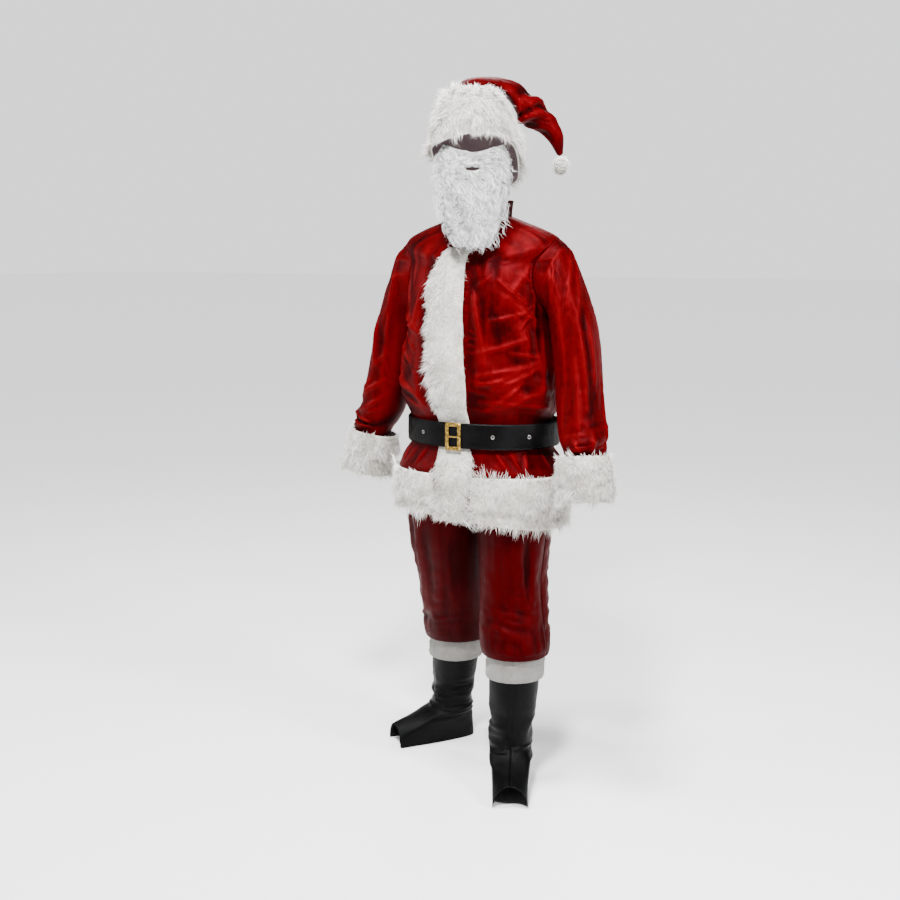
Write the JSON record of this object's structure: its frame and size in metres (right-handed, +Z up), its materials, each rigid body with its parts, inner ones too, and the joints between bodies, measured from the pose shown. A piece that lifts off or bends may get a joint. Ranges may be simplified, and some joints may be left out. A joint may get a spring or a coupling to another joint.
{
  "type": "santa suit",
  "caption": "Worn Father Christmas suit: fur-brimmed hat, beard, belted velvet jacket with fur trim, trousers and black boot covers, held in the hollow shape of a standing wearer.",
  "frame": {"origin": "between the wearer's shoulders at the base of the neck, 1.52 m above the soles, where the shoulders carry the suit", "axes": "+Z up, -Y the way the jacket faces, +X the wearer's left"},
  "size_m": [0.8625, 0.4557, 1.8949],
  "materials": {
    "jacket_velvet": "shiny crushed velvet",
    "trouser_velvet": "velvet",
    "long_fur": "long-pile imitation fur",
    "curled_fibre": "curled synthetic fibre",
    "boot_plush": "short plush",
    "boot_vinyl": "black imitation leather",
    "belt_vinyl": "satin black imitation leather",
    "antique_gold": "antique gold",
    "steel": "satin",
    "elastic": "woven elastic"
  },
  "bodies": {
    "root": {"beard": "curled_fibre", "beard_elastic": "elastic", "belt_buckle": "antique_gold", "belt_eyelet_1": "steel", "belt_eyelet_2": "steel", "belt_eyelet_3": "steel", "belt_prong": "antique_gold", "belt_strap": "belt_vinyl", "boot_cuff_left": "boot_plush", "boot_cuff_right": "boot_plush", "boot_left_inner": "boot_vinyl", "boot_left_outer": "boot_vinyl", "boot_right_inner": "boot_vinyl", "boot_right_outer": "boot_vinyl", "fur_cuff_left": "long_fur", "fur_cuff_right": "long_fur", "fur_hem": "long_fur", "fur_placket": "long_fur", "hat_brim": "long_fur", "hat_crown": "jacket_velvet", "hat_pompom": "long_fur", "jacket_back": "jacket_velvet", "jacket_collar": "jacket_velvet", "jacket_front_left": "jacket_velvet", "jacket_front_right": "jacket_velvet", "jacket_sleeve_left": "jacket_velvet", "jacket_sleeve_right": "jacket_velvet", "trouser_back_left": "trouser_velvet", "trouser_back_right": "trouser_velvet", "trouser_front_left": "trouser_velvet", "trouser_front_right": "trouser_velvet", "trouser_waistband": "trouser_velvet"}
  },
  "joints": []
}
